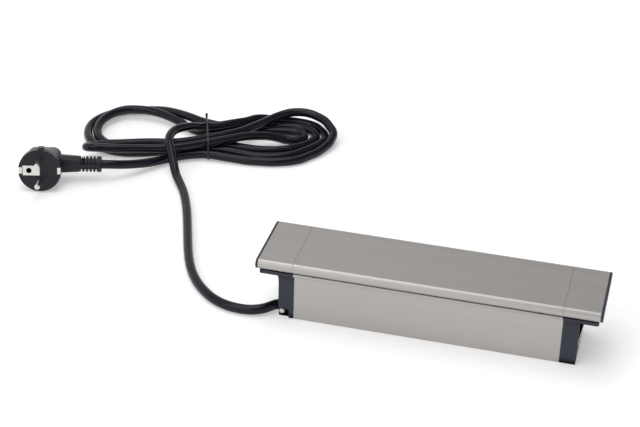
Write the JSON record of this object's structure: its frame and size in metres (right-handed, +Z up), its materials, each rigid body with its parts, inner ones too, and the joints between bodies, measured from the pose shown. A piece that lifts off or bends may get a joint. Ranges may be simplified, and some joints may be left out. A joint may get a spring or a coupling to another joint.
{
  "type": "desk socket block",
  "caption": "Low socket block for a desk cut-out, with a brushed lid hinged along its rear edge over round earthed sockets, black ends, and a mains lead tied in a hank with its plug.",
  "frame": {"origin": "middle of the block's underside, on the surface it stands on", "axes": "+X along the block to its right end, -Y to the front that faces the viewer, +Z up"},
  "size_m": [0.5393, 0.3382, 0.0545],
  "materials": {
    "brushed_aluminium": "brushed along the length, clear anodised",
    "housing_plastic": "fine matt black",
    "socket_plastic": "satin black",
    "carrier_plastic": "plain moulded light grey",
    "brass": "plain",
    "nickel_strip": "nickel plated",
    "steel": "zinc plated",
    "rubber": "matt",
    "clamp_plastic": "plain",
    "cord_sheath": "smooth satin sheath",
    "plug_plastic": "fine matt black",
    "tie_wire": "black coated wire",
    "live_insulation": "brown",
    "neutral_insulation": "blue",
    "earth_insulation": "green with a yellow stripe, shown as one colour"
  },
  "bodies": {
    "block": {"channel": "brushed_aluminium", "clamp_screw": "steel", "clip_rivets": "steel", "contact_carrier": "carrier_plastic", "cord_clamp": "clamp_plastic", "cord_gland": "rubber", "cord_hank": "cord_sheath", "cord_lead": "cord_sheath", "cord_tail": "cord_sheath", "earth_bar": "brass", "earth_clip_1": "nickel_strip", "earth_clip_2": "nickel_strip", "earth_clip_3": "nickel_strip", "earth_wire": "earth_insulation", "fascia_screws": "steel", "hank_tie": "tie_wire", "housing_screws": "steel", "left_end_cap": "housing_plastic", "left_end_cover": "brushed_aluminium", "left_housing": "housing_plastic", "left_spring_clip": "steel", "live_bar": "brass", "live_wire": "live_insulation", "neutral_bar": "brass", "neutral_wire": "neutral_insulation", "plug_body": "plug_plastic", "plug_boot": "plug_plastic", "plug_earth_contacts": "nickel_strip", "plug_pins": "nickel_strip", "right_end_cap": "housing_plastic", "right_end_cover": "brushed_aluminium", "right_housing": "housing_plastic", "right_spring_clip": "steel", "sheath_end": "cord_sheath", "shutter_spring_1": "steel", "shutter_spring_2": "steel", "shutter_spring_3": "steel", "socket_cup_1": "socket_plastic", "socket_cup_2": "socket_plastic", "socket_cup_3": "socket_plastic", "socket_fascia": "socket_plastic"},
    "lid": {"lid": "brushed_aluminium", "left_lid_plug": "housing_plastic", "right_lid_plug": "housing_plastic", "left_hinge_pin": "steel", "right_hinge_pin": "steel", "lid_buffers": "rubber"},
    "shutter_1": {"shutter_1": "carrier_plastic"},
    "shutter_2": {"shutter_2": "carrier_plastic"},
    "shutter_3": {"shutter_3": "carrier_plastic"}
  },
  "joints": [
    {"name": "lid_hinge", "type": "hinge", "parent": "block", "child": "lid", "pos_m": [0, 0.02955, 0.0503], "axis": [-1, 0, 0], "range_deg": [0, 105]},
    {"name": "shutter_1_slide", "type": "slide", "parent": "block", "child": "shutter_1", "axis": [0.7071, -0.7071, 0], "range_m": [0, 0.0064], "stiffness_N_per_m": 60, "springref_m": -0.003, "deforming": ["shutter_spring_1"]},
    {"name": "shutter_2_slide", "type": "slide", "parent": "block", "child": "shutter_2", "axis": [0.7071, -0.7071, 0], "range_m": [0, 0.0064], "stiffness_N_per_m": 60, "springref_m": -0.003, "deforming": ["shutter_spring_2"]},
    {"name": "shutter_3_slide", "type": "slide", "parent": "block", "child": "shutter_3", "axis": [0.7071, -0.7071, 0], "range_m": [0, 0.0064], "stiffness_N_per_m": 60, "springref_m": -0.003, "deforming": ["shutter_spring_3"]}
  ]
}
